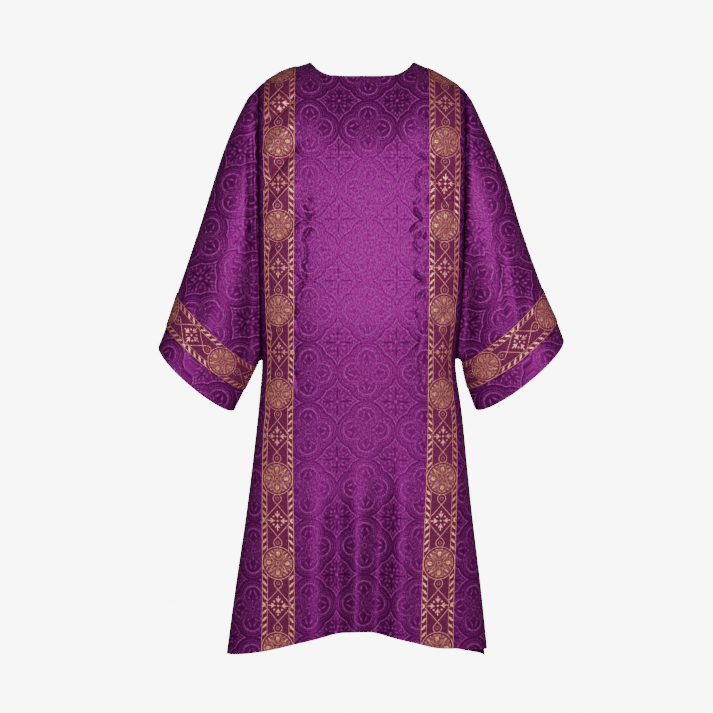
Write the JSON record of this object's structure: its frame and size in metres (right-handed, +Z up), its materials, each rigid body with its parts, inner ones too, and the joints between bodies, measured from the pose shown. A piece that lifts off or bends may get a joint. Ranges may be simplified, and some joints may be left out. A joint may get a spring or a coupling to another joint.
{
  "type": "dalmatic",
  "caption": "Wide-sleeved deacon's vestment of magenta damask with woven gold bands, in its hollow worn shape, open at the neck, cuffs, hem and side slits.",
  "frame": {"origin": "Midway between the two neck points, where the shoulder seams meet the neck opening; the wearer's shoulders hold the garment up there.", "axes": "+Z up, -Y the front, +X the wearer's left."},
  "size_m": [0.8061, 0.3062, 1.1932],
  "materials": {
    "damask": "magenta and plum silk damask with a satin sheen",
    "band": "woven band, old gold ornament on a plum ground",
    "piping": "dark rolled edge of the same damask"
  },
  "bodies": {
    "root": {"front_panel": "damask", "back_panel": "damask", "sleeve_left": "damask", "sleeve_right": "damask", "front_band_left": "band", "front_band_right": "band", "back_band_left": "band", "back_band_right": "band", "sleeve_band_left": "band", "sleeve_band_right": "band", "neck_piping": "piping"}
  },
  "joints": []
}
